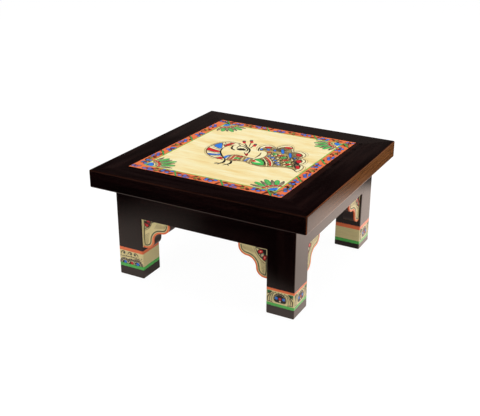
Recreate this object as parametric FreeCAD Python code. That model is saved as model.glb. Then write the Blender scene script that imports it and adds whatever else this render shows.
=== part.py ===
import FreeCAD, Part
import math
import os

# A bajot: a low square table of dark stained wood with a painted board in its top, used on the floor.
# Millimetres. Z is up, X to the right and Y to the back, with the origin on the floor under the middle.

# Whole table
top_width = 304.8
top_depth = 304.8
table_height = 152.4

# Top: a mitred frame with a rebate on its inner edge, and a board dropped into the rebate
top_thick = 23.5
rail_face = 35.4
rail_past_leg = 6.0
top_corner_round = 2.5
top_arris_round = 1.5
board_thick = 9.0
board_gap = 0.15

# Loose tongues across the mitres of the frame
tongue_thick = 4.0
tongue_width = 22.0
tongue_stop = 18.0

# Legs
leg_square = 38.1
top_overhang = 23.0
leg_arris_round = 1.2
foot_round = 1.8

# Aprons, flush with the outside of the legs
apron_height = 41.4
apron_thick = 18.0
apron_arris_round = 0.8
tenon_thick = 8.0
tenon_shoulder = 5.0
haunch_height = 10.0
haunch_length = 8.0

# Brackets, with a tongue on both glued edges that sits in grooves in the leg and the apron
bracket_thick = 18.0
bracket_setback = 3.0
bracket_tongue = 6.0
bracket_groove = 3.0
bracket_land = 4.0
bracket_lobe = 12.0
bracket_cove = 13.0

# Corner blocks behind the aprons
block_height = 20.0
block_wing = 40.0
block_screw_reach = 17.5
block_screw_inset = 8.0

# Countersunk screws, one pattern for the blocks' two uses, drawn with flats round them to stay light
screw_bite = 10.0
screw_shank = 3.5
screw_head = 7.0
screw_head_height = 2.4
screw_point = 4.0
screw_tip = 1.0
screw_flats = 12

# Room for glue at the bottom of each mortise, slot and groove
glue_gap = 0.2

# Sizes that follow from these
leg_top = table_height - top_thick
apron_bottom = leg_top - apron_height
rail_width = top_overhang + leg_square + rail_past_leg
bracket_drop = bracket_land + bracket_lobe + bracket_cove + bracket_lobe
screw_length = block_height + screw_bite

# The four sides, and the corners with their signs along X and Y, each a quarter turn on from the last
SIDES = ("front", "right", "back", "left")
CORNERS = {"back_right": (1, 1), "back_left": (-1, 1), "front_left": (-1, -1), "front_right": (1, -1)}


def block_between(low, high):
    """A rectangular block from its lowest corner to its highest one."""
    size = [b - a for a, b in zip(low, high)]
    return Part.makeBox(*size, FreeCAD.Vector(*low))


def plan_solid(points, bottom, top):
    """A straight-sided solid that has the outline in plan, from one height to another."""
    corners = [FreeCAD.Vector(x, y, bottom) for x, y in points]
    outline = Part.makePolygon(corners + corners[:1])
    return Part.Face(outline).extrude(FreeCAD.Vector(0, 0, top - bottom))


def same(a, b):
    """Whether two places are one, but for rounding."""
    return round(a - b, 6) == 0


def upright_edges(shape, wanted):
    """The vertical edges whose place in plan is wanted."""
    found = []
    for edge in shape.Edges:
        low, high = edge.Vertexes[0], edge.Vertexes[-1]
        if same(low.X, high.X) and same(low.Y, high.Y) and wanted(low.X, low.Y):
            found.append(edge)
    return found


def level_edges(shape, height):
    """The edges that lie at one height."""
    return [edge for edge in shape.Edges if all(same(corner.Z, height) for corner in edge.Vertexes)]


def turned(shape, quarter):
    """The shape turned about the table's middle by quarters of a turn."""
    copy = shape.copy()
    copy.rotate(FreeCAD.Vector(0, 0, 0), FreeCAD.Vector(0, 0, 1), 90 * quarter)
    return copy


def side_sizes(quarter):
    """How long the table's top is along one side, and how far that side stands from the middle."""
    if quarter % 2:
        return top_depth, top_width / 2
    return top_width, top_depth / 2


def in_from_corner(corner, inset):
    """The point that lies in from both sides of the top by one distance, at one of its corners."""
    sign_x, sign_y = CORNERS[corner]
    return FreeCAD.Vector(sign_x * (top_width / 2 - inset), sign_y * (top_depth / 2 - inset), 0)


def to_corner(shape, corner):
    """Turns a shape made about a leg's middle, outer corner towards +X +Y, and puts it at its leg."""
    copy = turned(shape, list(CORNERS).index(corner))
    copy.translate(in_from_corner(corner, top_overhang + leg_square / 2))
    return copy


def flat_face(corners):
    """A flat face inside some corners."""
    return Part.Face(Part.makePolygon(corners + corners[:1]))


def screw_ring(diameter, height):
    """The corners round a screw at one height along it."""
    turns = [2 * math.pi * step / screw_flats for step in range(screw_flats)]
    return [FreeCAD.Vector(diameter / 2 * math.cos(t), diameter / 2 * math.sin(t), height) for t in turns]


def screw(start, direction):
    """One countersunk screw, its head's face at start and its point in the given direction."""
    rings = [screw_ring(screw_head, 0), screw_ring(screw_shank, screw_head_height),
             screw_ring(screw_shank, screw_length - screw_point), screw_ring(screw_tip, screw_length)]
    faces = [flat_face(rings[0]), flat_face(rings[-1])]
    for low, high in zip(rings, rings[1:]):
        for corner in range(screw_flats):
            faces.append(flat_face([low[corner - 1], low[corner], high[corner], high[corner - 1]]))
    solid = Part.Solid(Part.Shell(faces))
    turn = FreeCAD.Rotation(FreeCAD.Vector(0, 0, 1), FreeCAD.Vector(*direction))
    solid.Placement = FreeCAD.Placement(FreeCAD.Vector(*start), turn)
    return solid


def block_faces():
    """Where a corner block meets the leg and the apron, and where its wings end, from the leg's middle."""
    leg_face = -leg_square / 2
    return leg_face, leg_square / 2 - apron_thick, leg_face - block_wing


def block_screws():
    """The screws of one corner block: two up into the top and one through its slanted face into the leg."""
    leg_face, apron_face, far = block_faces()
    along, across = leg_face - block_screw_reach, apron_face - block_screw_inset
    level = leg_top - block_height
    up = [screw((along, across, level), (0, 0, 1)), screw((across, along, level), (0, 0, 1))]
    slant = (far + apron_face) / 2
    into_leg = screw((slant, slant, leg_top - block_height / 2), (1, 1, 0))
    return up, into_leg


def corner_block():
    """A block notched round the inner corner of the leg and glued to both aprons."""
    leg_face, apron_face, far = block_faces()
    outline = [(leg_face, apron_face), (far, apron_face), (apron_face, far), (apron_face, leg_face),
               (leg_face, leg_face)]
    solid = plan_solid(outline, leg_top - block_height, leg_top)
    up, into_leg = block_screws()
    return solid.cut(up + [into_leg])


def tenon_band():
    """The tenon's two cheeks, measured outwards from the middle of the leg."""
    middle = leg_square / 2 - apron_thick / 2
    return middle - tenon_thick / 2, middle + tenon_thick / 2


def tenon_heights():
    """The bottom and top of the tenon below its haunch."""
    return apron_bottom + tenon_shoulder, leg_top - haunch_height


def bracket_tongue_band():
    """The two sides of a bracket's tongue, measured in from the outside of the leg and the apron."""
    middle = apron_thick / 2
    return middle - bracket_tongue / 2, middle + bracket_tongue / 2


def leg():
    """One leg about its own middle: rounded foot, meeting mortises, bracket grooves and a screw hole."""
    half = leg_square / 2
    foot = block_between((-half, -half, 0), (half, half, apron_bottom))
    foot = foot.makeFillet(leg_arris_round, upright_edges(foot, lambda x, y: True))
    foot = foot.makeFillet(foot_round, level_edges(foot, 0))
    head = block_between((-half, -half, apron_bottom), (half, half, leg_top))
    head = head.makeFillet(leg_arris_round, upright_edges(head, lambda x, y: x * y > 0))
    post = foot.fuse(head).removeSplitter()

    inside, outside = tenon_band()
    low, high = tenon_heights()
    end = outside + glue_gap
    haunch_end = -half + haunch_length + glue_gap
    near, far = [half - depth for depth in bracket_tongue_band()]
    groove_end = -half + bracket_groove + glue_gap
    cuts = [
        block_between((-half, inside, low), (end, outside, high)),
        block_between((inside, -half, low), (outside, end, high)),
        block_between((-half, inside, high), (haunch_end, outside, leg_top)),
        block_between((inside, -half, high), (outside, haunch_end, leg_top)),
    ]
    groove_low, groove_high = apron_bottom - bracket_drop, apron_bottom + bracket_groove + glue_gap
    cuts.append(block_between((-half, far, groove_low), (groove_end, near, groove_high)))
    cuts.append(block_between((far, -half, groove_low), (near, groove_end, groove_high)))
    return post.cut(cuts + [block_screws()[1]])


def apron(length, reach):
    """One apron along X, outer face towards -Y: a board with mitred, haunched tenons and bracket grooves."""
    leg_middle_x = length / 2 - top_overhang - leg_square / 2
    leg_middle_y = reach - top_overhang - leg_square / 2
    shoulder = leg_middle_x - leg_square / 2
    outer, inner = leg_middle_y + leg_square / 2, leg_middle_y + leg_square / 2 - apron_thick
    board = block_between((-shoulder, -outer, apron_bottom), (shoulder, -inner, leg_top))
    eased = [edge for edge in level_edges(board, apron_bottom) if same(edge.Length, 2 * shoulder)]
    board = board.makeFillet(apron_arris_round, eased)

    inside, outside = tenon_band()
    low, high = tenon_heights()
    near, far = leg_middle_y + inside, leg_middle_y + outside
    front, behind = [outer - depth for depth in bracket_tongue_band()]
    for end in (-1, 1):
        root = end * shoulder
        short, long = end * (leg_middle_x + inside - glue_gap), end * (leg_middle_x + outside - glue_gap)
        tenon = plan_solid([(root, -near), (short, -near), (long, -far), (root, -far)], low, high)
        step = end * (shoulder + haunch_length)
        haunch = plan_solid([(root, -near), (step, -near), (step, -far), (root, -far)], high, leg_top)
        groove_end = end * (shoulder - bracket_drop)
        groove = plan_solid([(root, -front), (groove_end, -front), (groove_end, -behind), (root, -behind)],
                            apron_bottom, apron_bottom + bracket_groove + glue_gap)
        board = board.fuse([tenon, haunch]).cut(groove)
    return board.removeSplitter()


def bracket(length, reach, end):
    """One ogee bracket under the apron, at its left end (-1) or its right end (1), with its tongues."""
    shoulder = length / 2 - top_overhang - leg_square
    outer = reach - top_overhang
    plane = outer - bracket_setback

    def spot(away, down):
        return FreeCAD.Vector(end * (shoulder - away), -plane, apron_bottom - down)

    def quarter_arc(begin, centre, finish, radius, sign):
        lean = sign * radius * math.sqrt(0.5)
        return Part.Arc(spot(*begin), spot(centre[0] + lean, centre[1] + lean), spot(*finish)).toShape()

    land, lobe, cove, reach_out = bracket_land, bracket_lobe, bracket_cove, bracket_drop
    turn_in = land + lobe
    middle = turn_in + cove
    edges = [
        Part.LineSegment(spot(reach_out, 0), spot(reach_out, land)).toShape(),
        quarter_arc((reach_out, land), (middle, land), (middle, turn_in), lobe, 1),
        quarter_arc((middle, turn_in), (middle, middle), (turn_in, middle), cove, -1),
        quarter_arc((turn_in, middle), (land, middle), (land, reach_out), lobe, 1),
        Part.LineSegment(spot(land, reach_out), spot(0, reach_out)).toShape(),
        Part.LineSegment(spot(0, reach_out), spot(0, 0)).toShape(),
        Part.LineSegment(spot(0, 0), spot(reach_out, 0)).toShape(),
    ]
    board = Part.Face(Part.Wire(edges)).extrude(FreeCAD.Vector(0, bracket_thick, 0))

    front, behind = [outer - depth for depth in bracket_tongue_band()]
    root, tip, tongue_end = end * shoulder, end * (shoulder - reach_out), end * (shoulder + bracket_groove)
    level = apron_bottom + bracket_groove
    upright = plan_solid([(root, -front), (tongue_end, -front), (tongue_end, -behind), (root, -behind)],
                         apron_bottom - reach_out, level)
    flat = plan_solid([(root, -front), (tip, -front), (tip, -behind), (root, -behind)], apron_bottom, level)
    return board.fuse([upright, flat]).removeSplitter()


def tongue(corner, room):
    """The flat strip that crosses one mitre, or with room round it the slot that takes it."""
    length = rail_width * math.sqrt(2) - 2 * tongue_stop + 2 * room
    width = tongue_width + 2 * room
    level = leg_top + (top_thick - board_thick - tongue_thick) / 2
    strip = block_between((-length / 2, -width / 2, level), (length / 2, width / 2, level + tongue_thick))
    sign_x, sign_y = CORNERS[corner]
    strip.rotate(FreeCAD.Vector(0, 0, 0), FreeCAD.Vector(0, 0, 1), math.degrees(math.atan2(sign_y, sign_x)))
    strip.translate(in_from_corner(corner, rail_width / 2))
    return strip


def top_blank():
    """The outside of the whole top, with its corners rounded and its edges eased."""
    wide, deep = top_width / 2, top_depth / 2
    slab = block_between((-wide, -deep, leg_top), (wide, deep, table_height))
    slab = slab.makeFillet(top_corner_round, upright_edges(slab, lambda x, y: True))
    return slab.makeFillet(top_arris_round, level_edges(slab, leg_top) + level_edges(slab, table_height))


def rail(quarter):
    """One rail of the top frame, mitred at both ends, rebated for the board and slotted for the tongues."""
    length, reach = side_sizes(quarter)
    outline = [(-length / 2, -reach), (length / 2, -reach),
               (length / 2 - rail_width, rail_width - reach), (rail_width - length / 2, rail_width - reach)]
    solid = top_blank().common(turned(plan_solid(outline, leg_top, table_height), quarter))
    wide, deep = top_width / 2 - rail_face, top_depth / 2 - rail_face
    recess = block_between((-wide, -deep, table_height - board_thick), (wide, deep, table_height))
    slots = [tongue(corner, glue_gap) for corner in CORNERS]
    screws = [to_corner(up, corner) for corner in CORNERS for up in block_screws()[0]]
    return solid.cut([recess] + slots + screws)


def picture_board():
    """The flat board that carries the picture, resting on the frame's ledge with its face flush."""
    wide = top_width / 2 - rail_face - board_gap
    deep = top_depth / 2 - rail_face - board_gap
    return block_between((-wide, -deep, table_height - board_thick), (wide, deep, table_height))


def build():
    """Every piece of the table by its name."""
    pieces = {"picture_board": picture_board()}
    for quarter, side in enumerate(SIDES):
        length, reach = side_sizes(quarter)
        left, right = SIDES[quarter - 1], SIDES[(quarter + 1) % len(SIDES)]
        pieces[f"rail_{side}"] = rail(quarter)
        pieces[f"apron_{side}"] = turned(apron(length, reach), quarter)
        pieces[f"bracket_{side}_at_{left}"] = turned(bracket(length, reach, -1), quarter)
        pieces[f"bracket_{side}_at_{right}"] = turned(bracket(length, reach, 1), quarter)
    for corner in CORNERS:
        pieces[f"leg_{corner}"] = to_corner(leg(), corner)
        pieces[f"corner_block_{corner}"] = to_corner(corner_block(), corner)
        pieces[f"mitre_tongue_{corner}"] = tongue(corner, 0)
    up, into_leg = block_screws()
    pieces["top_screws"] = Part.makeCompound([to_corner(one, corner) for corner in CORNERS for one in up])
    pieces["leg_screws"] = Part.makeCompound([to_corner(into_leg, corner) for corner in CORNERS])
    return pieces


os.makedirs("parts", exist_ok=True)
for node, shape in build().items():
    shape.exportStep(f"parts/{node}.step")
    print(f"{node:26} solids {len(shape.Solids)}  volume {round(shape.Volume)} mm3  valid {shape.isValid()}")
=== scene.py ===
import math
import random

import bmesh
import bpy
from mathutils import Matrix, Vector


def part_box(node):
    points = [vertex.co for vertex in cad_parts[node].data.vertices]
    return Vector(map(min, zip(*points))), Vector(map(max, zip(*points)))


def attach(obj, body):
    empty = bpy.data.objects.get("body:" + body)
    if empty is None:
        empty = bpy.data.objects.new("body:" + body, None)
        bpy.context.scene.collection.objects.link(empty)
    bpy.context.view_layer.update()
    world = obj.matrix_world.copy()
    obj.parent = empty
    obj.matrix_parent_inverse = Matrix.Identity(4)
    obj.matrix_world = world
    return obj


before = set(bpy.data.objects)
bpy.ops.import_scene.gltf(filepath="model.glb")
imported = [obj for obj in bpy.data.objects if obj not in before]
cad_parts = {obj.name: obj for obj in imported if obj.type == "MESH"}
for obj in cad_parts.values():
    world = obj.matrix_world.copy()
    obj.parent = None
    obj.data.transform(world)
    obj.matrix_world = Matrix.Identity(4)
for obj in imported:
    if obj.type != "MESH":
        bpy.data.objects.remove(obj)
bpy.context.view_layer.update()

# Camera
# It stands in front of the table's right-hand corner and looks down on it from a little above. Its place,
# length, tilt and shift come from the edges of the top and the legs, whose real sizes are known.
mm = 0.001
camera_tilt = 1.102
camera_data = bpy.data.cameras.new("camera")
camera_data.sensor_width = 36
camera_data.lens = 60.194
camera_data.shift_x = -0.0748
camera_data.shift_y = -0.0223
camera = bpy.data.objects.new("camera", camera_data)
camera.location = (480.4 * mm, -902.3 * mm, 517.8 * mm)
sight = Vector((-0.40551, 0.828636, -0.385907)).to_track_quat("-Z", "Y").to_matrix()
camera.rotation_euler = (sight @ Matrix.Rotation(math.radians(camera_tilt), 3, "Z")).to_euler()
bpy.context.scene.collection.objects.link(camera)
bpy.context.scene.camera = camera


# Legs
# Four square posts of stained hardwood under satin lacquer. Before the lacquer, poster paint is brushed round
# each foot in three bands, green, cream and orange, with a small figure in ink on the two outer faces.
foot_levels = {"front_left": (13.1, 17.3, 36.6, 41.0), "front_right": (13.2, 17.0, 33.8, 37.3),
               "back_right": (8.5, 13.0, 31.2, 36.4), "back_left": (10.8, 15.4, 34.0, 38.6)}
ramp_height = 200.0


def colour(code):
    """An sRGB hex value as the linear colour that a shader takes."""
    parts = [int(code[i:i + 2], 16) / 255 for i in (1, 3, 5)]
    return (*(p / 12.92 if p <= 0.04045 else ((p + 0.055) / 1.055) ** 2.4 for p in parts), 1)


def feed(material, node, inputs):
    """Sets the inputs of a node, in order or by name: values, hex colours, or the sockets that feed them."""
    for name, value in inputs.items() if isinstance(inputs, dict) else enumerate(inputs):
        if isinstance(value, bpy.types.NodeSocket):
            material.node_tree.links.new(value, node.inputs[name])
        else:
            node.inputs[name].default_value = colour(value) if isinstance(value, str) else value


def add(material, kind, inputs=(), stops=(), **settings):
    """Adds a node and gives its first output in use. The stops of a colour ramp are positions and colours."""
    made = material.node_tree.nodes.new("ShaderNode" + kind)
    for name, value in settings.items():
        setattr(made, name, value)
    feed(material, made, inputs)
    if stops:
        elements = made.color_ramp.elements
        while len(elements) < len(stops):
            elements.new(0.5)
        for element, (position, value) in zip(elements, stops):
            element.position = position
            element.color = colour(value) if isinstance(value, str) else value
    return next((socket for socket in made.outputs if socket.enabled), None)


def new_material(name):
    """An empty material with its output and its shader, and the place on the object that patterns follow."""
    material = bpy.data.materials.new(name)
    material.use_nodes = True
    material.node_tree.nodes.clear()
    shader = add(material, "BsdfPrincipled")
    add(material, "OutputMaterial", (shader,))
    return material, shader.node, add(material, "TexCoord").node.outputs["Object"]


def streaks(material, place, grain, length, width, detail=4):
    """Noise drawn out along the grain: the mean length and width of a streak are in millimetres."""
    scale = [1 / (width * mm)] * 3
    scale["XYZ".index(grain)] = 1 / (length * mm)
    turned = add(material, "Mapping", {"Vector": place, "Scale": scale})
    return add(material, "TexNoise", {"Vector": turned, "Scale": 1.0, "Detail": detail, "Roughness": 0.6})


def stained_wood(name, grain, wear_and_highlight=0.12, painted_sheen_side=None, levels=None, dull=0.0):
    """Close-grained hardwood in a nearly black brown stain under satin lacquer. The stain lies darker in the
    fine streaks of the grain. The rounded arrises are orange brown, partly stain rubbed through and partly a
    painted highlight, and one side may carry a painted warm reflection in orange brown."""
    material, shader, place = new_material(name)
    fine = streaks(material, place, grain, length=45, width=0.9)
    broad = streaks(material, place, grain, length=150, width=14, detail=2)
    both = add(material, "Math", (fine, broad), operation="MULTIPLY")
    finish = add(material, "ValToRGB", (both,), [(0.1, "#070303"), (0.28, "#110506"), (0.45, "#1F0C0A")])

    # Each map range below takes a value, the range that it comes from and the range that it goes to.
    normal = add(material, "NewGeometry").node.outputs["Normal"]
    # Painted reflection: faces that look towards the given side turn orange brown, more strongly towards the
    # back, as warm light from that side would show on the lacquer.
    if painted_sheen_side:
        facing = add(material, "VectorMath", (normal, painted_sheen_side), operation="DOT_PRODUCT")
        depth = add(material, "SeparateXYZ", (place,)).node.outputs["Y"]
        rise = add(material, "MapRange", (depth, -0.15, 0.02, 0.1, 0.95))
        thin = add(material, "MapRange", (facing, 0.6, 0.9, 0.0, rise))
        brown = add(material, "ValToRGB", (fine,), [(0.3, "#633B1F"), (0.65, "#905E38")])
        finish = add(material, "Mix", {"Factor": thin, "A": finish, "B": brown}, data_type="RGBA")

    # A surface square to an axis is flat wood, and one that isn't is a rounded arris. There the orange brown is
    # partly stain that hands rub through and partly a painted highlight.
    facing = add(material, "VectorMath", (normal,), operation="ABSOLUTE")
    facing = add(material, "SeparateXYZ", (facing,)).node.outputs
    level = add(material, "Math", (facing["X"], facing["Y"]), operation="MAXIMUM")
    level = add(material, "Math", (level, facing["Z"]), operation="MAXIMUM")
    worn_and_highlight = add(material, "MapRange", (level, 0.985, 0.9, 0.0, wear_and_highlight))
    patchy = add(material, "MapRange", (broad, 0.35, 0.6, 0.15, 1.0))
    worn_and_highlight = add(material, "Math", (worn_and_highlight, patchy), operation="MULTIPLY")
    finish = add(material, "Mix", {"Factor": worn_and_highlight, "A": finish, "B": "#7A4226"}, data_type="RGBA")

    if levels:
        foot_z, green_z, cream_z, orange_z = levels
        height = add(material, "SeparateXYZ", (place,)).node.outputs["Z"]
        waver = add(material, "TexNoise", {"Vector": place, "Scale": 1 / (6 * mm), "Detail": 2.0})
        waver = add(material, "Math", (waver, 0.5 * mm), operation="MULTIPLY")
        height = add(material, "Math", (height, waver), operation="ADD")
        share = add(material, "Math", (height, ramp_height * mm), operation="DIVIDE")
        bare = (0, 0, 0, 0)
        bands = add(material, "ValToRGB", (share,), [
            (0.0, bare), (foot_z / ramp_height, "#55CC5C"), (green_z / ramp_height, "#F3E3A6"),
            (cream_z / ramp_height, "#FF7F4E"), (orange_z / ramp_height, bare)]).node
        bands.color_ramp.interpolation = "CONSTANT"
        brushed = streaks(material, place, "X", length=30, width=0.8)
        cover = add(material, "MapRange", (brushed, 0.3, 0.7, 0.8, 1.04))
        tone = add(material, "VectorMath", {0: bands.outputs["Color"], "Scale": cover}, operation="SCALE")
        finish = add(material, "Mix", {"Factor": bands.outputs["Alpha"], "A": finish, "B": tone},
                     data_type="RGBA")

    gloss = add(material, "MapRange", (broad, 0.3, 0.7, 0.12 + dull, 0.205 + dull))
    pores = add(material, "Bump", {"Height": fine, "Strength": 0.12, "Distance": 0.1 * mm})
    feed(material, shader, {"Base Color": finish, "Roughness": gloss, "IOR": 1.5, "Normal": pores})
    return material


def dress(node, material):
    """Gives a piece of the table its finish."""
    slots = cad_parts[node].data.materials
    slots.clear()
    slots.append(material)


corners = {"back_right": (1, 1), "back_left": (-1, 1), "front_left": (-1, -1), "front_right": (1, -1)}
for corner in corners:
    dress(f"leg_{corner}", stained_wood(f"stained_post_{corner}", "Z", levels=foot_levels[corner]))


def poster_paint(name, thick, thin):
    """Poster colour brushed on by hand under the lacquer: flat and even, a little thinner along the brush's
    path, with the slight relief of a dried stroke."""
    material, shader, place = new_material(name)
    brushed = streaks(material, place, "X", length=14, width=0.7)
    cover = add(material, "ValToRGB", (brushed,), [(0.32, thin), (0.55, thick)])
    relief = add(material, "Bump", {"Height": brushed, "Strength": 0.1, "Distance": 0.05 * mm})
    feed(material, shader, {"Base Color": cover, "Roughness": 0.38, "IOR": 1.5, "Normal": relief})
    return material


paints = {paint: poster_paint(name, thick, thin) for paint, name, thick, thin in (
    ("ink", "ink_black_poster_paint", "#15110F", "#2A211C"),
    ("sepia", "sepia_wash", "#6E5437", "#8A6C48"),
    ("stone", "stone_grey_poster_paint", "#A89C82", "#C2B696"),
    ("olive", "olive_poster_paint", "#7C8438", "#97A04C"),
    ("dark_green", "dark_green_poster_paint", "#15281E", "#22382A"),
    ("tan", "tan_poster_paint", "#B39A62", "#C8B27A"),
    ("slate", "slate_grey_poster_paint", "#4B4A48", "#68655F"),
    ("cream", "cream_poster_paint", "#FFF4C4", "#F7E8B4"),
    ("orange", "orange_poster_paint", "#FF7A48", "#F0683A"),
    ("border_orange", "border_orange_poster_paint", "#F4804C", "#E66C40"),
    ("red", "red_poster_paint", "#E2222E", "#C81C28"),
    ("maroon", "maroon_poster_paint", "#6B1A14", "#84301F"),
    ("blue", "blue_poster_paint", "#2478E0", "#4490EA"),
    ("green", "green_poster_paint", "#3CC257", "#5CCB72"),
    ("deep_green", "deep_green_poster_paint", "#1F6B3E", "#2F8450"),
    ("lime", "lime_green_poster_paint", "#84BC48", "#9ACB60"))}
coat = 0.02
brush_flat = 0.06


def new_painting():
    """An empty painting: its marks, and the paints used so far."""
    return {"marks": bmesh.new(), "used": []}


def keep_mark(painting, curve, paint, squash, lift):
    """Turns one curve, drawn in millimetres, into faces of a paint."""
    if paint not in painting["used"]:
        painting["used"].append(paint)
    holder = bpy.data.objects.new("brush_mark", curve)
    mesh = bpy.data.meshes.new_from_object(holder)
    mesh.transform(Matrix.Translation((0, 0, lift)) @ Matrix.Diagonal((1, 1, squash, 1)))
    for face in mesh.polygons:
        face.material_index = painting["used"].index(paint)
    painting["marks"].from_mesh(mesh)
    bpy.data.objects.remove(holder)
    bpy.data.curves.remove(curve)
    bpy.data.meshes.remove(mesh)


def draw(curve, points, kind, closed, radius=None):
    """Adds a spline through or along some points to a curve."""
    spline = curve.splines.new(kind)
    spline.points.add(len(points) - 1)
    for index, (point, (x, y)) in enumerate(zip(spline.points, points)):
        point.co = (x, y, 0, 1)
        if radius:
            point.radius = radius(index / (len(points) - 1))
    spline.use_cyclic_u = closed
    spline.use_endpoint_u = not closed
    spline.order_u = 3
    spline.resolution_u = 4


def patch(painting, paint, points, coats=1, sharp=False):
    """A filled shape. Its outline rounds its points off, and a point given twice stays a corner."""
    curve = bpy.data.curves.new("patch", "CURVE")
    curve.dimensions = "2D"
    curve.fill_mode = "BOTH"
    thick = coat * (coats + 1)
    curve.extrude = thick / 2
    draw(curve, points, "POLY" if sharp else "NURBS", True)
    keep_mark(painting, curve, paint, 1, coat * coats - thick / 2)


def line(painting, paint, points, width, coats=4, closed=False, taper=0.0):
    """A brushed or inked line, thinner at its ends by a share of its width."""
    curve = bpy.data.curves.new("line", "CURVE")
    curve.dimensions = "3D"
    curve.fill_mode = "FULL"
    curve.bevel_depth = width / 2
    curve.bevel_resolution = 1
    curve.use_fill_caps = True
    draw(curve, points, "NURBS", closed, lambda share: 1 - taper * abs(2 * share - 1) ** 2)
    keep_mark(painting, curve, paint, brush_flat, coat * coats)


def oval(painting, paint, middle, length, width, angle=0.0, coats=2):
    """An oval patch, its length turned by an angle in degrees."""
    turn = Matrix.Rotation(math.radians(angle), 2)
    ends = [Vector(c) for c in ((-length / 2, -width / 2), (length / 2, -width / 2),
                                (length / 2, width / 2), (-length / 2, width / 2))]
    patch(painting, paint, [turn @ end + Vector(middle) for end in ends], coats)


def arc(middle, radius, start, end):
    """Nine points on part of a circle, from one angle in degrees to another."""
    angles = [math.radians(start + (end - start) * step / 8) for step in range(9)]
    return [Vector(middle) + radius * Vector((math.cos(a), math.sin(a))) for a in angles]


def hang_painting(painting, name, placement):
    """Puts a painting on its surface: a piece of its own that rides with the table."""
    marks = painting["marks"]
    bmesh.ops.remove_doubles(marks, verts=marks.verts, dist=coat / 20)
    marks.transform(placement @ Matrix.Scale(mm, 4))
    bmesh.ops.recalc_face_normals(marks, faces=marks.faces)
    mesh = bpy.data.meshes.new(name)
    marks.to_mesh(mesh)
    marks.free()
    for paint in painting["used"]:
        mesh.materials.append(paints[paint])
    piece = bpy.data.objects.new(name, mesh)
    bpy.context.scene.collection.objects.link(piece)
    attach(piece, "root")


def upright(across, outward, origin):
    """The placement of a painting on an upright face: its X runs across the face and its Y runs up."""
    frame_axes = Matrix((across, (0, 0, 1), outward)).transposed().to_4x4()
    return Matrix.Translation(origin) @ frame_axes


def half_rosette(painting, middle, radius, dot):
    """Half a round flower that stands on the green band: petals in ink round a coloured eye."""
    x, y = middle
    patch(painting, "ink", [(x - radius, y), (x - radius, y)] + arc(middle, radius, 180, 0)
          + [(x + radius, y), (x + radius, y)], 1)
    for angle in range(14, 180, 22):
        way = Vector((math.cos(math.radians(angle)), math.sin(math.radians(angle))))
        oval(painting, "stone", Vector(middle) + radius * 0.82 * way, radius * 0.26, radius * 0.17, angle, 2)
    line(painting, "cream", arc(middle, radius * 0.58, 4, 176), 0.7, 2)
    oval(painting, dot, (x + radius * 0.1, y + radius * 0.24), radius * 0.52, radius * 0.46, 20, 3)


def rosettes_on_foot(painting, half, low, high):
    """Three half flowers in a row that overlap, under a scroll with dots."""
    for x, radius, dot in ((-0.6, 0.46, "blue"), (0.0, 0.48, "red"), (0.5, 0.54, "blue")):
        half_rosette(painting, (x * half, low), radius * half, dot)
    for x, way in ((-0.72, 1), (-0.12, 1), (0.42, -1)):
        x *= half
        line(painting, "ink",
             [(x - 3.4 * way, high - 5.6), (x - 2.6 * way, high - 2), (x + 1.6 * way, high - 1),
              (x + 3.4 * way, high - 3.4), (x + 1.6 * way, high - 5.4), (x, high - 4)], 1.2, 2, taper=0.3)
        oval(painting, "slate", (x + 1.2 * way, high - 3.4), 2.2, 1.7, 30, 3)
    for step in range(9):
        oval(painting, "ink", (half * (step / 4 - 1) * 0.9, high - 7.2 - 0.8 * (step % 2)), 1.7, 1.2, 20, 2)
    line(painting, "ink", [(-half, high - 8.8), (-half / 3, high - 8.2), (half / 3, high - 7.4),
                           (half, high - 10)], 0.8, 2, taper=0.5)


def lotus_on_foot(painting, half, low, high):
    """A round flower between crescent leaves, with a green leaf in each upper corner."""
    middle = Vector((0, low + (high - low) * 0.42))
    wide, tall = half * 0.5, (high - low) * 0.5
    turns = [math.radians(angle) for angle in range(-40, 221, 20)]
    rim = [Vector((wide * math.cos(turn), tall * math.sin(turn))) for turn in turns]
    patch(painting, "ink", [middle + point for point in rim], 1)
    for point in rim[2:-2]:
        oval(painting, "stone", middle + point * 0.8, 1.9, 1.2, math.degrees(math.atan2(point.y, point.x)), 2)
    oval(painting, "red", middle + Vector((0, 0.4)), 3.6, 3.2, 0, 3)
    oval(painting, "cream", middle - Vector((0, 3.0)), 2.6, 2.0, 0, 3)
    for side in (-1, 1):
        oval(painting, "blue", middle + Vector((side * 5.0, 0.6)), 3.8, 3.8, 0, 3)
        x = side * half
        for share, width, top in ((0.97, 1.5, 0.55), (0.8, 1.1, 0.72), (0.64, 0.9, 0.86)):
            line(painting, "ink", [(x * share * 0.96, low + 0.6), (x * share, low + (high - low) * 0.42),
                                   (x * (share - 0.12), low + (high - low) * top),
                                   (x * (share - 0.3), high - 1.2)], width, 2, taper=0.5)
        line(painting, "ink", [(x * 0.55, low), (x * 0.75, low + 1.8), (x * 0.9, low + 1.0)], 1.2, 2, taper=0.4)
        patch(painting, "deep_green", [(x * 0.98, high), (x * 0.98, high), (x * 0.97, high - 5),
                                       (x * 0.62, high - 1), (x * 0.62, high)], 3)
        line(painting, "ink", [(x * 0.97, high - 5), (x * 0.8, high - 3.4), (x * 0.6, high - 0.8)], 1.1, 4)
    for share in (-0.36, -0.12, 0.12, 0.36):
        line(painting, "ink", [(half * share, high - 0.4), (half * share * 0.8, high - 2.6)], 1.3, 2, taper=0.5)


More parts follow.
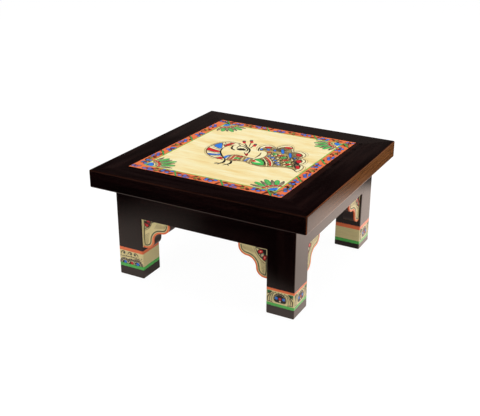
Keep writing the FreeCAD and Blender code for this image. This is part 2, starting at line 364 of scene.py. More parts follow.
for corner, (sign_x, sign_y) in corners.items():
    low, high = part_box(f"leg_{corner}")
    middle = (low + high) / 2
    half = (high.x - low.x) / 2 / mm
    faces = {"side": ((0, sign_x, 0), (sign_x, 0, 0), (middle.x + sign_x * half * mm, middle.y, 0)),
             "end": ((-sign_y, 0, 0), (0, sign_y, 0), (middle.x, middle.y + sign_y * half * mm, 0))}
    green_z, cream_z = foot_levels[corner][1:3]
    figure = rosettes_on_foot if corner.endswith("left") else lotus_on_foot
    for place, (across, outward, origin) in faces.items():
        painting = new_painting()
        figure(painting, half - 1.0, green_z + 0.2, cream_z - 0.3)
        hang_painting(painting, f"foot_figure_{corner}_{place}", upright(across, outward, origin))


# Aprons
# Four boards of the same stained wood, tenoned into the legs so that their outer faces are flush with them.
# Their grain runs along them.
stained_across = stained_wood("stained_board_across", "X")
stained_deep = stained_wood("stained_board_front_to_back", "Y")
for side in ("front", "back"):
    dress(f"apron_{side}", stained_across)
for side in ("left", "right"):
    dress(f"apron_{side}", stained_deep)


# Brackets
# Shaped boards, 18 mm thick, let into grooves in the corners between legs and aprons. The outer face is cream,
# with an orange rim, a dark line inside it and a quarter flower in the corner. The orange runs on over the
# first 2 mm of the sawn edge, and the rest is stained.
bracket_land, bracket_lobe, bracket_cove = 4.0, 12.0, 13.0
bracket_reach = bracket_land + 2 * bracket_lobe + bracket_cove
rim_width, inner_line = 2.3, 4.2


def bracket_finish(name, axis):
    """Stain, orange near the front of the sawn edge and cream on the outer face, by depth from the back."""
    material, shader, place = new_material(name)
    depth = add(material, "SeparateXYZ", (place,)).node.outputs[axis]
    depth = add(material, "Math", (depth,), operation="ABSOLUTE")
    low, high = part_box("bracket_front_at_left")
    share = add(material, "MapRange", (depth, -high.y, -low.y))
    zone = add(material, "ValToRGB", (share,), [(0.0, "#180809"), (0.87, "#F4622F"), (0.985, "#F1E2A6")])
    zone.node.color_ramp.interpolation = "CONSTANT"
    brushed = streaks(material, place, "Z", length=16, width=0.7)
    tone = add(material, "MapRange", (brushed, 0.3, 0.7, 0.74, 1.05))
    finish = add(material, "VectorMath", {0: zone, "Scale": tone}, operation="SCALE")
    feed(material, shader, {"Base Color": finish, "Roughness": 0.38})
    return material


def ogee(inset):
    """The shaped edge of a bracket, moved in by an inset: distances from the leg and from the apron."""
    far, near = bracket_reach, bracket_land
    middle = near + bracket_lobe + bracket_cove
    lobe, cove = bracket_lobe - inset, bracket_cove + inset
    points = [Vector((far - inset, 0))]
    points += arc((middle, near), lobe, 0, 90)
    points += arc((middle, middle), cove, 270, 180)
    points += arc((near, middle), lobe, 0, 90)
    return points + [Vector((0, far - inset))]


wide_flower = (1.0, ((11, 2.2), (8.4, 8.4), (2.2, 12)),
               (("red", (9.8, 6.2), 7.2, 4.4, 30), ("red", (3.9, 13.4), 7.0, 4.0, 66),
                ("stone", (7.4, 10.6), 6.2, 3.6, 52)))
tight_flower = (0.76, ((8.6, 1.9), (7.0, 6.2), (1.9, 7.6)),
                (("red", (9.6, 2.6), 6.0, 3.2, 12), ("red", (6.2, 7.8), 7.0, 3.8, 20),
                 ("slate", (9.6, 5.6), 5.0, 1.6, 30)))


def paint_bracket(painting, flower):
    """The rim, the line inside it, the quarter flower and a painted shade under the apron, drawn from the
    corner along the leg and the apron.
    """
    outer, inner = ogee(0.15), ogee(rim_width)
    patch(painting, "orange", outer + inner[::-1], 1, sharp=True)
    shaped = ogee(inner_line)[1:-1]
    line(painting, "dark_green",
         [(shaped[0].x, 2.6), *shaped, (2.4, shaped[-1].y), (1.9, 30), (1.9, 1.9), (17, 1.9)], 1.3, 2)
    size, heart, petals = flower
    patch(painting, "ink", [(1.9, 1.9), (1.9, 1.9), *heart], 1)
    # Painted shade: a brown line along the apron's edge darkens the top of the bracket, where the apron shades
    # it.
    line(painting, "sepia", [(2, 0.8), (14, 0.9), (27, 0.7), (39, 0.8)], 1.3, 1, taper=0.3)
    for paint, spot, length, width, angle in petals:
        oval(painting, "ink", spot, length + 2.4 * size, width + 2.2 * size, angle, 2)
        oval(painting, paint, spot, length, width, angle, 3)
        if flower is wide_flower:
            oval(painting, "cream", spot, 1.8, 0.9, angle, 4)
    for paint, points, width in (
            ("ink", ((16.6, 2.8), (15.4, 6.6), (12.6, 11), (8.4, 15.4), (2.6, 18.6)), 1.1),
            ("sepia", ((19.2, 2.8), (17.6, 8), (14.2, 13.2), (9.2, 18.2), (2.6, 21.4)), 0.7)):
        line(painting, paint, [Vector(point) * size for point in points], width, 4)
    for step in range(7):
        low, high = 21 + 2.4 * step, 18 + 2.2 * step
        line(painting, "sepia", [(2.6, low + 3), (5.4, low), (10.6 - step * 0.4, high)], 0.8, 1, taper=0.7)
        line(painting, "sepia", [(low + 3, 2.6), (low, 5.4), (high, 10.6 - step * 0.4)], 0.8, 1, taper=0.7)


bracket_paint = {"X": bracket_finish("painted_bracket_front_and_back", "Y"),
                 "Y": bracket_finish("painted_bracket_left_and_right", "X")}
for side, along, sign, ends in (("front", "X", -1, ("left", "right")), ("right", "Y", 1, ("front", "back")),
                                ("back", "X", 1, ("right", "left")), ("left", "Y", -1, ("back", "front"))):
    outward = (0, sign, 0) if along == "X" else (sign, 0, 0)
    apron_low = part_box(f"apron_{side}")[0]
    for end in ends:
        bracket = f"bracket_{side}_at_{end}"
        dress(bracket, bracket_paint[along])
        low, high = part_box(bracket)
        corner = f"leg_{side}_{end}" if along == "X" else f"leg_{end}_{side}"
        leg_low, leg_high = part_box(corner)
        away = 1 if end in ("left", "front") else -1
        across = (away, 0, 0) if along == "X" else (0, away, 0)
        start = leg_high if away > 0 else leg_low
        face = high if sign > 0 else low
        origin = (start.x, face.y, apron_low.z) if along == "X" else (face.x, start.y, apron_low.z)
        painting = new_painting()
        paint_bracket(painting, tight_flower if bracket == "bracket_front_at_left" else wide_flower)
        placement = Matrix.Translation(origin) @ Matrix((across, (0, 0, -1), outward)).transposed().to_4x4()
        hang_painting(painting, f"bracket_painting_{side}_at_{end}", placement)

# At the front left the brush ran over the corner, so the leg's own edge beside the bracket is cream too.
leg_high, bracket_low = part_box("leg_front_left")[1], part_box("bracket_front_at_left")[0]
overrun = new_painting()
patch(overrun, "cream", [(-1.9, 47.2), (-0.03, 46.6), (-0.03, 88.4), (-1.2, 89.4), (-1.9, 88.2)], 1, sharp=True)
hang_painting(overrun, "cream_overrun_on_leg", upright((0, 1, 0), (1, 0, 0), (leg_high.x, bracket_low.y, 0)))


# Corner blocks and their screws
# Offcuts of a pale hardwood, sawn to shape, glued behind each corner and left bare where nobody looks.
# Zinc-plated steel screws go up through them into the frame of the top and across into the leg.
def bare_wood(name, grain):
    """Planed pale hardwood with no finish: warm, dull and streaked along the grain."""
    material, shader, place = new_material(name)
    fine = streaks(material, place, grain, length=30, width=0.8)
    wood = add(material, "ValToRGB", (fine,), [(0.3, "#A97B4C"), (0.6, "#D2A873")])
    relief = add(material, "Bump", {"Height": fine, "Strength": 0.3, "Distance": 0.1 * mm})
    feed(material, shader, {"Base Color": wood, "Roughness": 0.7, "Normal": relief})
    return material


def zinc_plate():
    """Steel screws under yellow zinc plate: a satin metal with a faint uneven tint from the dip."""
    material, shader, place = new_material("yellow_zinc_plate")
    cloud = add(material, "TexNoise", {"Vector": place, "Scale": 1 / (2 * mm), "Detail": 3.0})
    tint = add(material, "ValToRGB", (cloud,), [(0.35, "#C9B56A"), (0.65, "#D8D2B4")])
    feed(material, shader, {"Base Color": tint, "Metallic": 1.0, "Roughness": 0.35})
    return material


pale_block = bare_wood("bare_pale_hardwood", "X")
plated = zinc_plate()
for corner in corners:
    dress(f"corner_block_{corner}", pale_block)
    dress(f"mitre_tongue_{corner}", pale_block)
for screws in ("top_screws", "leg_screws"):
    dress(screws, plated)


# Frame of the top
# Four wide rails, mitred at the corners and held by loose tongues, with a ledge for the board. Each has its
# grain along it. The outer edge of the right-hand rail carries a painted warm reflection in orange brown, and
# its arrises a full painted highlight over the rubbed stain. The back rail is duller.
dress("rail_front", stained_across)
dress("rail_back", stained_wood("stained_rail_with_dull_lacquer", "X", dull=0.2))
dress("rail_left", stained_deep)
dress("rail_right", stained_wood("stained_rail_with_painted_sheen", "Y", wear_and_highlight=1.0, painted_sheen_side=(1, 0, 0)))


# Picture board
# A flat board dropped on the ledge, stained first and then painted. The picture leaves its right-hand edge
# bare, where the stain is a shade lighter in a strip beside the painting.
strip_end = 112.2


def stained_board():
    """The frame's stain on a flat board, with a lighter strip along its right-hand edge."""
    material = stained_across.copy()
    material.name = "stained_picture_board"
    shader = material.node_tree.nodes["Principled BSDF"]
    finish = shader.inputs["Base Color"].links[0].from_socket
    place = add(material, "TexCoord").node.outputs["Object"]
    across = add(material, "SeparateXYZ", (place,)).node.outputs["X"]
    before = add(material, "Math", (across, strip_end * mm), operation="LESS_THAN")
    share = add(material, "Math", (before, 0.75), operation="MULTIPLY")
    paler = add(material, "Mix", {"Factor": share, "A": finish, "B": "#2C1612"}, data_type="RGBA")
    feed(material, shader, {"Base Color": paler})
    return material


dress("picture_board", stained_board())

top_low, top_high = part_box("rail_front")[0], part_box("rail_back")[1]
picture_wide, picture_deep, picture_lean = 218.5, 233.0, 3.9
picture_left, picture_front = 35.6, 36.1
band = 15.4
slant = Vector((0.63, -0.777)) * band * 0.64


def painted_ground():
    """Cream ground over the whole picture, drawn out with a wide brush, so that faint streaks run across it."""
    material, shader, place = new_material("cream_ground")
    fine = streaks(material, place, "X", length=22, width=1.6)
    broad = streaks(material, place, "X", length=60, width=12, detail=2)
    both = add(material, "Math", (fine, broad), operation="MULTIPLY")
    cover = add(material, "ValToRGB", (both,), [(0.12, "#F5D68E"), (0.25, "#FDEBB1"), (0.38, "#FFF5CA")])
    feed(material, shader, {"Base Color": cover, "Roughness": 0.4})
    return material


paints["ground"] = painted_ground()


def inset_corners(inset):
    """The corners of the picture moved in by an inset."""
    wide, deep = picture_wide - inset, picture_deep - inset
    return [(inset, inset), (wide, inset), (wide, deep), (inset, deep)]


border_figures = {
    "bowl": (("blue", -5.3, -0.8, 4.9, 4.2, 0), ("blue", 1.3, 2.4, 4.8, 4.2, 0),
             ("blue", 2.4, -2.8, 5.3, 2.6, 0), ("blue", 7.3, -2.0, 4.4, 2.8, 0),
             ("maroon", -1.9, 0.7, 6.1, 4.4, 0), ("maroon", 5.4, 1.9, 5.9, 3.3, 0)),
    "cup": (("blue", -5.7, -1.8, 4.9, 4.4, 0), ("blue", -5.8, 2.8, 4.6, 2.5, 0),
            ("blue", 2.1, -3.0, 5.1, 4.4, 0), ("blue", 6.2, 2.3, 5.5, 3.6, 0),
            ("maroon", -2.2, -0.2, 5.9, 4.4, 0), ("maroon", 3.6, 0.6, 6.1, 3.8, 0),
            ("maroon", -1.8, 3.4, 4.9, 2.3, 0)),
    "twig": (("maroon", -6.0, 1.0, 6.9, 3.3, 30), ("ink", -3.2, 4.4, 6.4, 2.6, -20),
             ("olive", -0.8, -0.4, 5.1, 4.4, 0), ("ink", -0.6, -3.0, 5.6, 2.3, 10),
             ("maroon", 4.6, -0.8, 6.9, 3.6, -25), ("ink", 7.4, -2.8, 5.6, 2.3, 20),
             ("olive", 3.4, 3.0, 4.6, 2.3, -30)),
    "leaves": (("maroon", 4.2, 2.2, 8.4, 3.8, 4), ("ink", 5.0, 2.4, 4.4, 1.5, 4),
               ("maroon", -3.8, -3.6, 8.4, 3.8, 60), ("ink", -3.8, -3.6, 3.8, 1.5, 60)),
}


def border_figure(painting, kind, place, run, rise, angle, rng, size=1.0):
    """A small figure of the border, its middle at run and rise: round petals about dark hearts, or leaves."""
    for paint, along_run, across_run, length, width, lean in border_figures[kind]:
        spot = place(run + (along_run + rng.uniform(-0.6, 0.6)) * size,
                     rise + (across_run + rng.uniform(-0.4, 0.4)) * size)
        turned = angle + lean + rng.uniform(-14, 14)
        if paint == "blue":
            oval(painting, "maroon", spot, length * size + 1.5, width * size + 1.4, turned, 2)
        oval(painting, paint, spot, length * size, width * size, turned,
             {"maroon": 3, "blue": 4, "ink": 4, "olive": 5}[paint])


def paint_border(painting):
    """The orange band with its flowers, and green strokes that part it into lengths."""
    rng = random.Random(7)
    wide, deep = picture_wide, picture_deep
    runs = [
        (wide, (0.30, 0.61, 0.91), 0, lambda s, t: (s, t)),
        (deep, (0.28, 0.59, 0.92), 90, lambda s, t: (wide - t, s)),
        (wide, (0.27, 0.62, 0.925), 180, lambda s, t: (wide - s, deep - t)),
        (deep, (0.42, 0.72), 270, lambda s, t: (t, deep - s)),
    ]
    for length, slants, angle, place in runs:
        stops = [band] + [length * share for share in slants] + [length - band * 0.8]
        for stop in stops[1:-1]:
            middle = Vector(place(stop, band / 2))
            for way, paint, width, coats in ((1.0, "deep_green", 3.4, 6), (0.96, "green", 2.7, 7)):
                reach = slant * way
                line(painting, paint, [middle - reach, middle, middle + reach], width, coats, taper=0.5)
            border_figure(painting, "leaves", place, stop, band * 0.49, angle, rng)
        for first, last in zip(stops, stops[1:]):
            gap = last - first
            marks = ((0.21, "bowl", 0.34), (0.48, "twig", 0.4), (0.75, "cup", 0.57))
            if gap < 45:
                marks = ((0.26, "twig", 0.45), (0.7, "cup", 0.57))
            if gap < 24:
                marks = ((0.5, "twig", 0.5),)
            for share, kind, rise in marks:
                border_figure(painting, kind, place, first + gap * share, band * rise, angle, rng)
    for spot, angle in zip(inset_corners(band * 0.42), (45, 135, 225, 315)):
        border_figure(painting, "cup", lambda s, t: (spot[0] + s, spot[1] + t), 0, 0, angle, rng, 0.7)
    for side, reach in (((wide - 9.3, 21), Vector((5.6, 12.8))), ((7.4, 26), Vector((2.6, 7.0)))):
        middle = Vector(side)
        line(painting, "deep_green", [middle - reach, middle, middle + reach], 2.6, 6, taper=0.6)
        line(painting, "green", [middle - reach * 0.9, middle, middle + reach * 0.9], 1.3, 7, taper=0.6)


def corner_lotus(painting, corner, sign_x, sign_y):
    """A quarter flower in a corner of the field: a blue heart, red petals round it and a fan of leaves."""
    def spot(radius, angle):
        turn = math.radians(angle)
        across, up = sign_x * radius * math.cos(turn), sign_y * radius * math.sin(turn)
        return Vector((corner[0] + across, corner[1] + up))

    def lean(angle):
        turn = math.radians(angle)
        return math.degrees(math.atan2(sign_y * math.sin(turn), sign_x * math.cos(turn)))

    for angle, paint, tip in ((81, "stone", 33), (67, "green", 34), (56, "stone", 35), (45, "green", 38),
                              (34, "stone", 36), (22, "green", 36), (8, "stone", 36)):
        if paint == "green":
            oval(painting, "ink", spot(tip / 2 + 11, angle), tip - 17, 6.8, lean(angle), 2)
            oval(painting, "green", spot(tip / 2 + 10.6, angle), tip - 18, 5.8, lean(angle), 3)
            line(painting, "tan", [spot(22, angle), spot(tip - 2, angle)], 1.6, 4, taper=0.6)
        else:
            oval(painting, "stone", spot(tip / 2 + 10, angle), tip - 20, 5.2, lean(angle), 1)
            for side in (-5, 0, 5):
                line(painting, "ink" if side else "sepia", [spot(22, angle + side), spot(29, angle + side),
                                                            spot(tip, angle)], 1.1, 3, taper=0.4)
            oval(painting, "ink", spot(tip, angle), 2.8, 2.4, lean(angle), 4)
    for angle in (82, 64, 46, 28, 9):
        oval(painting, "ink", spot(17.6, angle), 4.6, 5.4, lean(angle), 3)
        oval(painting, "red", spot(17.4, angle), 3.2, 5.0, lean(angle), 4)
    for radius, paint, width in ((20.6, "ink", 0.7), (14.4, "ink", 0.9), (12.6, "sepia", 0.9)):
        line(painting, paint, [spot(radius, angle) for angle in range(2, 90, 8)], width, 3)
    for angle in (16, 36, 54, 74):
        oval(painting, "olive", spot(13.4, angle), 2.4, 1.8, lean(angle), 4)
    patch(painting, "blue", [corner, corner] + [spot(10.2, angle) for angle in range(-8, 104, 16)], 2)
    line(painting, "sepia", [spot(10.4, angle) for angle in range(4, 88, 12)], 0.9, 3)
    oval(painting, "deep_green", spot(2.6, 45), 3.4, 2.4, lean(45), 3)


picture = new_painting()
patch(picture, "border_orange", inset_corners(0), 1, sharp=True)
patch(picture, "lime", inset_corners(band - 1.9), 2, sharp=True)
patch(picture, "ground", inset_corners(band), 3, sharp=True)
lean_matrix = Matrix(((1, picture_lean / picture_deep, 0, 0), (0, 1, 0, 0), (0, 0, 1, 0), (0, 0, 0, 1)))
picture_corner = top_low + Vector((picture_left * mm, picture_front * mm, 0))
picture_place = Matrix.Translation((picture_corner.x, picture_corner.y, top_high.z)) @ lean_matrix
hang_painting(picture, "picture_ground", picture_place)
ground_top = 3 * coat * mm

border = new_painting()
paint_border(border)
hang_painting(border, "picture_border_flowers", picture_place)

lotuses = new_painting()
for corner, signs in zip(inset_corners(band), ((1, 1), (-1, 1), (-1, -1), (1, -1))):
    corner_lotus(lotuses, corner, *signs)
hang_painting(lotuses, "picture_corner_flowers", picture_place @ Matrix.Translation((0, 0, ground_top)))


# Painted bird
# A peacock in the manner of village wall painting, with its neck bent back in a hoop and its tail spread behind
# it. It is filled with flat colour and then drawn over in ink with a brush.
def along(path, place):
    """A point part of the way along a list of points, counted in points."""
    index = min(int(place), len(path) - 2)
    return Vector(path[index]).lerp(Vector(path[index + 1]), place - index)


def spread(path, share):
    """A point at a share of the way along a list of points."""
    return along(path, share * (len(path) - 1))


bird = new_painting()
neck_outer = [(38, 96), (26, 97), (15, 91), (8, 79), (6, 65), (8.5, 52), (15, 41), (25, 32.5), (37, 28),
              (49, 27.5)]
neck_inner = [(36, 87), (30, 84), (26, 76), (25.6, 67), (28, 57.4), (32, 50.4), (37, 44), (42, 38.4),
              (47, 33.4), (51, 29.5)]
patch(bird, "cream", neck_outer + neck_inner[::-1], 1)
for paint, stripe in (
        ("red", [(22.4, 77), (21.8, 84), (23.5, 91.4), (31, 95), (29.6, 87), (28, 81), (26, 73.6)]),
        ("blue", [(8.4, 71.6), (10, 80), (14.3, 87), (18, 80), (21.6, 74), (25.2, 65.2), (21.5, 64.4),
                  (15, 67)]),
        ("red", [(6.4, 62), (8, 54), (11.9, 49.2), (18, 48), (24.4, 48.6), (31, 51.2), (27.4, 55.6),
                 (21, 56.6), (14, 58.6)]),
        ("blue", [(16.4, 40.6), (19, 36), (23.5, 33.9), (29.4, 36.8), (39, 42), (35.6, 47), (31, 43.6),
                  (25, 41.4)]),
        ("red", [(33, 28.6), (37, 30.8), (41, 36), (46, 33.6), (47, 29.6), (41.5, 26.4)])):
    patch(bird, paint, stripe, 2, sharp=True)
    line(bird, "sepia", stripe, 0.7, 3, True)
for place in (1.25, 1.9, 2.3, 3.6, 3.9, 5.2, 5.5, 6.5, 6.8, 7.1):
    line(bird, "sepia", [along(neck_outer, place), along(neck_inner, place)], 1.0, 2)
line(bird, "sepia", neck_outer, 1.7, 3)
line(bird, "tan", [Vector(p) + (Vector(p) - Vector((32, 62))) * 0.1 for p in neck_outer[1:-1]], 0.8, 3)
line(bird, "ink", neck_inner[3:], 2.4, 4, taper=0.3)
line(bird, "sepia", neck_inner[:4], 1.2, 4)
line(bird, "ink", [(19, 84), (23, 78)], 1.4, 4, taper=0.4)

head = [(36, 94), (46, 92), (55, 87), (62, 79), (65.4, 71), (66.6, 63), (69.4, 56), (69.4, 56), (64, 61),
        (58, 66), (52, 67), (44, 68), (38, 73), (34, 83)]
patch(bird, "cream", head, 2)
line(bird, "sepia", [(34, 95.6), (44, 93.4), (52, 90)], 1.5, 3, taper=0.3)
for points, width in (
        ([(47, 91), (55.6, 86.6), (62, 79.4), (65.2, 71.2), (66.2, 63)], 2.0),
        ([(52, 85.6), (57.4, 81.4), (60.4, 76), (60, 70.4)], 1.7),
        ([(43, 76), (40.8, 82.4), (43.4, 87.4), (49.4, 86.8), (55.4, 81.6)], 1.6),
        ([(33.6, 83), (34.6, 76), (38.6, 70.4), (44, 68.4)], 2.3), ([(37.6, 91.8), (44.8, 85.8)], 2.4),
        ([(56.4, 77.6), (58, 74.4), (56, 71)], 1.2), ([(59.6, 66.6), (64.4, 61), (69.4, 55.4)], 1.4),
        ([(66.2, 63), (68.6, 58.6), (69.6, 55)], 1.2)):
    line(bird, "ink", points, width * 1.25, 4, taper=0.4)
patch(bird, "ink", [(43.6, 75), (46.8, 79), (50.6, 80.4), (54.8, 79), (57, 75.8), (54.4, 72.4), (50.2, 70.2),
                    (46, 71.2)], 5, sharp=True)
patch(bird, "red", [(62.8, 61.8), (65.2, 64.6), (69.2, 60.6), (70, 55), (66, 57)], 5, sharp=True)

for root, bend, red_end, tip in (((51, 91), (45, 97), (39.6, 103.7), (36.9, 108.5)),
                                 ((54.6, 90), (51, 100), (48.1, 110.1), (44.5, 116)),
                                 ((59, 86), (58.4, 92), (58.6, 98.3), (57.9, 104.4))):
    line(bird, "ink", [root, bend, red_end], 1.8, 3, taper=0.3)
    oval(bird, "slate", Vector(tip).lerp(Vector(red_end), 0.35), 8.0, 5.0, -62, 4)
    oval(bird, "red", Vector(red_end) + Vector((0.6, -0.8)), 7.4, 4.6, -50, 5)

body_top = [(46, 44), (50, 50), (56, 53), (63, 53), (70, 51.6), (76, 50.8), (84, 50)]
body_low = [(50, 29.4), (55, 28.4), (61, 29.2), (68, 33), (75, 35.4), (81, 33.8), (88, 30.4)]
patch(bird, "tan", body_top + body_low[::-1], 1)
for step in range(1, 15):
    bar = [spread(body_top, step / 15), spread(body_low, step / 15)]
    line(bird, "cream" if step % 2 else "sepia", bar, 0.9, 2)
patch(bird, "blue", [(44.6, 35), (44.2, 41.6), (46.6, 47.6), (50, 47), (50, 39.3), (48.8, 33.6)], 3, sharp=True)
line(bird, "red", [(55, 30.8), (56.6, 39), (54.6, 47.4), (57.4, 51.4)], 2.6, 4, taper=0.3)
line(bird, "blue", [(76.4, 35.8), (75.6, 43), (77.4, 50)], 3.0, 4, taper=0.3)
for paint, spot, length, width, angle in (("red", (63.4, 48.6), 8, 3.4, 14),
                                          ("green", (62.6, 41.4), 7.6, 4.8, 24), ("red", (63, 35), 8, 2.6, 28)):
    oval(bird, "ink", spot, length + 1, width + 1, angle, 3)
    oval(bird, paint, spot, length, width, angle, 4)
line(bird, "sepia", body_top, 1.5, 4)
line(bird, "sepia", body_low, 1.5, 4)

tail_lobes = [
    [(73.4, 82), (69.8, 88.7), (68.8, 97.2), (71, 106), (75.7, 110.2), (83.5, 108.5), (90.4, 102.6)],
    [(90.4, 102.6), (90.9, 111.1), (94.4, 117.7), (99.8, 120.7), (106.1, 119.7), (111.3, 113.6), (116, 103)],
    [(116, 103), (121, 105.6), (128, 105.4), (135, 101.4), (139, 95), (138.6, 87.6), (136, 82.6)],
    [(136, 82.6), (141.6, 81.4), (147, 76.2), (149, 69), (147, 62), (145.6, 59.4)],
    [(145.6, 59.4), (150.4, 58.4), (154.4, 53.6), (156, 46), (154.6, 37), (153.6, 34)],
]
tail_heart = Vector((112, 66))
tail_low = [(88, 30.4), (99.4, 27.9), (107.6, 29.8), (118.7, 34.7), (129.4, 40.6), (142.5, 41), (148, 39),
            (154, 33)]


def from_heart(path, share):
    """A path drawn nearer to the middle of the tail, or farther from it."""
    return [tail_heart + (Vector(point) - tail_heart) * share for point in path]


for lobe in tail_lobes:
    patch(bird, "sepia", from_heart(lobe, 1.02) + [tail_heart], 1)
    patch(bird, "cream", from_heart(lobe, 0.995) + [tail_heart], 2)
    patch(bird, "tan", from_heart(lobe, 0.88) + [tail_heart], 3)
    line(bird, "ink", from_heart(lobe, 0.89), 0.8, 4, taper=0.3)
    line(bird, "sepia", from_heart(lobe, 1.01), 1.3, 4, taper=0.2)
    line(bird, "tan", from_heart(lobe, 1.1), 0.7, 4, taper=0.5)
patch(bird, "tan", [tail_lobes[0][0], (88, 96), (108, 104), (124, 96), (134, 78), (144, 56), (147, 42)]
      + tail_low[::-1][1:] + [(92, 56)], 4)
line(bird, "ink", [tail_lobes[0][0], (70.4, 88), (69.6, 94)], 2.2, 5, taper=0.4)
rng = random.Random(11)
for row in range(9):
    start = Vector((93, 84)).lerp(Vector((134, 77)), row / 8)
    end = Vector((94, 36)).lerp(Vector((138, 44)), row / 8)
    bend = start.lerp(end, 0.5) + Vector((7, 5))
    line(bird, "ink", [start, bend, end], 1.5, 5, taper=0.3)
    for step in range(9):
        spot = start.lerp(end, (step + 0.5) / 9) + Vector((4.5 * math.sin(math.pi * (step + 0.5) / 9) + 2.6, 2))
        oval(bird, ("sepia", "ink", "cream")[(step + row) % 3], spot, rng.uniform(3.0, 4.2),
             rng.uniform(1.8, 2.4), rng.uniform(-80, -20), 5)
for step in range(52):
    share = step / 51
    root = spread([(77, 88), (92, 92), (104, 92), (120, 84), (132, 70), (141, 52)], share)
    tip = spread(from_heart([point for lobe in tail_lobes for point in lobe[1:-1]], 0.88), share)
    quill = [root, root.lerp(tip, 0.5), tip]
    line(bird, "ink" if step % 3 else "slate", quill, rng.uniform(0.9, 1.4), 5, taper=0.2)
for paint, middle, length, width, angle in (
        ("red", (79.4, 100.6), 9, 5.4, 8), ("red", (104.8, 112.4), 11, 6.4, 2),
        ("red", (129.6, 92.4), 10, 6.8, -52), ("red", (140.4, 69.4), 10, 6.6, -58),
        ("red", (148.2, 48.8), 10.6, 5.0, -62), ("red", (89.4, 83.5), 5.4, 3.0, 20),
        ("red", (108.5, 78.4), 8, 3.6, 32), ("red", (122.8, 65.3), 9, 3.6, 32),
        ("red", (132.6, 52.6), 7.6, 3.6, 32), ("blue", (74.8, 88.8), 6.4, 3.6, -62),
        ("blue", (83.8, 91.8), 6.4, 4.0, -50), ("blue", (93.2, 93), 6.8, 3.6, -62),
        ("blue", (104.4, 94.6), 18, 4.0, -62), ("blue", (119.8, 86), 19, 3.4, -64),
        ("blue", (130.5, 78), 4.4, 2.6, -62), ("blue", (96.2, 70), 4.2, 3.0, 20),
        ("blue", (103.6, 65.7), 5.4, 4.0, 20), ("blue", (110.5, 58.4), 5.0, 3.6, 20),
        ("blue", (116.9, 51.1), 5.6, 3.4, 30), ("blue", (121.9, 45.8), 5.0, 3.0, 30),
        ("green", (99.5, 80.5), 6.4, 4.6, 20), ("green", (116.3, 72.9), 8.4, 4.6, 44),
        ("green", (128.8, 60.5), 7.4, 4.2, 40), ("green", (137.4, 46.4), 6.0, 3.0, 34)):
    oval(bird, "ink", middle, length + 1.2, width + 1.2, angle, 6)
    oval(bird, paint, middle, length, width, angle, 7)
arc_path = [(91.6, 64.4), (98.5, 60), (105.1, 52.6), (110.8, 45), (114.4, 36.4)]
for shift, paint, width in ((-11, "sepia", 1.0), (-8.4, "ink", 1.0), (-5.8, "cream", 1.6), (-3.6, "ink", 1.0),
                            (2.8, "cream", 1.6), (4.6, "ink", 1.0)):
    way = Vector((0.8, 0.6)) * shift * 0.8
    line(bird, paint, [Vector(p) + way for p in arc_path], width, 6, taper=0.4)
line(bird, "red", arc_path, 2.8, 7, taper=0.4)
line(bird, "sepia", tail_low, 1.5, 6, taper=0.2)
line(bird, "ink", [(142, 41.4), (148, 39), (154.6, 32.4)], 2.2, 7, taper=0.5)

collar = [(73.6, 81), (80, 85), (85.4, 83.6), (90, 77.4), (92.6, 69), (92, 60), (88.4, 53.6), (85, 49.6)]
patch(bird, "cream", [(73.6, 81)] + collar + [(85, 49.6), (82, 52), (83.6, 60), (83, 70), (78, 77)], 7)
line(bird, "sepia", collar, 1.3, 8, taper=0.3)
for shift in (3, 6, 9):
    line(bird, "sepia", [(79 + shift * 0.3, 80.6 - shift), (84.4 - shift * 0.2, 72 - shift * 0.6),
                         (84.6 - shift * 0.2, 60), (83.4, 52)], 0.9, 8, taper=0.4)
wing = [(85.4, 50), (90.2, 53.4), (90.2, 53.4), (97.6, 50.2), (103, 43.4), (106, 36.2), (106, 36.2), (101, 32),
        (93, 31.6), (86.4, 35)]
patch(bird, "green", wing, 7)
patch(bird, "cream", [(84.6, 47.4), (84.6, 47.4), (91, 45), (99, 40.4), (99, 40.4), (92, 38.8), (86, 38.4)], 8)
patch(bird, "red", [(83.4, 42.6), (86.6, 46), (91, 43), (88.6, 38.6)], 9, sharp=True)
line(bird, "ink", wing, 1.1, 8, True)
feet = (([(51.4, 29), (54.6, 22), (54.2, 15.8), (51.4, 12.8)], ((45, 12.4), (46.4, 8.6), (52, 8))),
        ([(60.6, 29.4), (64.2, 23), (64.4, 17.4), (62, 14.4)], ((56.6, 13), (59.6, 8.6), (67, 11))))
for leg, toes in feet:
    line(bird, "ink", leg, 3.4, 8, taper=0.3)
    for toe in toes:
        knuckle = Vector(leg[-1]).lerp(Vector(toe), 0.5) + Vector((0.6, 0.6))
        line(bird, "slate", [leg[-1], knuckle, toe], 1.7, 8, taper=0.4)
bird_left, bird_front = 80.0, 88.8
bird_corner = (top_low.x + bird_left * mm, top_low.y + bird_front * mm, top_high.z + ground_top)
hang_painting(bird, "picture_peacock", Matrix.Translation(bird_corner))


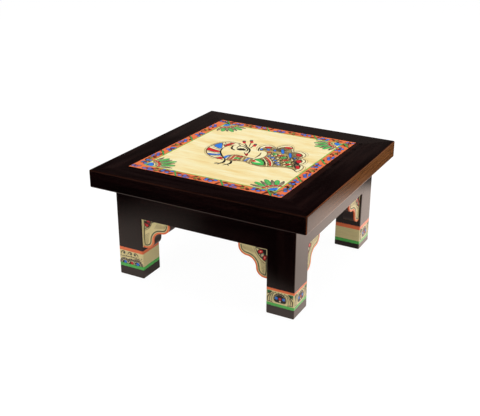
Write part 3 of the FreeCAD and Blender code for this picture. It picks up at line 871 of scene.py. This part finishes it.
# Studio
# A floor of white paper and four soft lights: a wide one overhead, and weaker ones in front, at the front right
# and on the right. The lacquer mirrors none of them. It mirrors the floor, which it sees as bright to the right
# and the front left of the table and dark elsewhere, and a low band of light all round.
def floor_finish():
    """Matt white paper. The camera sees it white with a faint shadow, and the lacquer sees it lit by place."""
    material = bpy.data.materials.new("white_paper_floor")
    material.use_nodes = True
    material.node_tree.nodes.clear()
    place = add(material, "TexCoord").node.outputs["Object"]
    split = add(material, "SeparateXYZ", (place,)).node.outputs
    x, y = split["X"], split["Y"]

    # The bright part to the right of the table is brighter towards the back.
    middle = add(material, "VectorMath", (place, (0, 0.11, 0)), operation="DISTANCE")
    disc = add(material, "MapRange", (middle, 0.275, 0.33, 1.0, 0.0))
    back = add(material, "MapRange", (y, -0.19, -0.13))
    deep = add(material, "MapRange", (y, 0.0, 0.14, 1.42, 1.85))
    right = add(material, "MapRange", (x, 0.122, 0.132))
    for factor in (back, deep, disc):
        right = add(material, "Math", (right, factor), operation="MULTIPLY")

    # The bright part in front fades away from the table, and reaches farthest at the left.
    left = add(material, "MapRange", (x, -0.22, -0.10, 0.38, 0.18))
    rest = add(material, "MapRange", (x, -0.10, 0.09, 0.0, -0.1))
    fade = add(material, "Math", (left, rest), operation="ADD")
    ahead = add(material, "Math", (-0.13, y), operation="SUBTRACT")
    near = add(material, "Math", (ahead, fade), operation="DIVIDE")
    strong = add(material, "MapRange", (x, -0.05, 0.1, 1.0, 1.4))
    open_floor = add(material, "MapRange", (ahead, -0.02, 0.01, 0.4, strong))
    front = add(material, "MapRange", (near, 0.0, 1.0, open_floor, 0.0))
    radius = add(material, "VectorMath", (place,), operation="LENGTH")
    around = add(material, "MapRange", (radius, 0.33, 0.44, 1.0, 0.0))
    front = add(material, "Math", (front, around), operation="MULTIPLY")

    bright = add(material, "Math", (right, front), operation="MAXIMUM")
    seen = add(material, "Emission", ("#FFE9DC", bright))
    matt = add(material, "BsdfDiffuse", ("#EAE2D8",))
    glow = add(material, "Emission", ("#FFFFFF", 0.97))
    veil = add(material, "BsdfDiffuse", ((0.1, 0.1, 0.1, 1),))
    white = add(material, "AddShader", (glow, veil))
    rays = add(material, "LightPath").node.outputs
    body = add(material, "MixShader", (rays["Is Glossy Ray"], matt, seen))
    body = add(material, "MixShader", (rays["Is Camera Ray"], body, white))
    add(material, "OutputMaterial", (body,))
    return material


floor_half = 3.0
floor_mesh = bpy.data.meshes.new("floor")
floor_shape = bmesh.new()
bmesh.ops.create_grid(floor_shape, x_segments=1, y_segments=1, size=floor_half)
floor_shape.to_mesh(floor_mesh)
floor_shape.free()
floor_mesh.materials.append(floor_finish())
floor = bpy.data.objects.new("floor", floor_mesh)
bpy.context.scene.collection.objects.link(floor)

world = bpy.data.worlds.new("studio")
world.use_nodes = True
world.node_tree.nodes.clear()
rays = add(world, "LightPath").node.outputs
way = add(world, "TexCoord").node.outputs["Generated"]
rise = add(world, "SeparateXYZ", (way,)).node.outputs["Z"]
dusk = add(world, "MapRange", (rise, 0.2, 0.3, 0.33, 0.002))
soft = add(world, "Background", ("#FFFFFF", 0.22))
mirrored = add(world, "Background", ("#FFE9DC", dusk))
white = add(world, "Background", ("#FFFFFF", 1.0))
sky = add(world, "MixShader", (rays["Is Glossy Ray"], soft, mirrored))
sky = add(world, "MixShader", (rays["Is Camera Ray"], sky, white))
add(world, "OutputWorld", (sky,))
bpy.context.scene.world = world

table_middle = Vector((0, 0, 0.08))
for name, place, size, power in (("overhead_light", (-0.1, 0.15, 1.5), 1.1, 18.5),
                                 ("front_light", (-0.42, -0.66, 0.14), 0.3, 1.05),
                                 ("front_right_light", (1.2, -0.5, 0.2), 0.5, 3.6),
                                 ("right_light", (1.6, 0.7, 0.45), 1.0, 6.5)):
    lamp = bpy.data.lights.new(name, "AREA")
    lamp.size = size
    lamp.energy = power
    light = bpy.data.objects.new(name, lamp)
    light.location = place
    light.rotation_euler = (table_middle - Vector(place)).to_track_quat("-Z", "Y").to_euler()
    light.visible_glossy = False
    bpy.context.scene.collection.objects.link(light)

bpy.context.scene.view_settings.view_transform = "Standard"
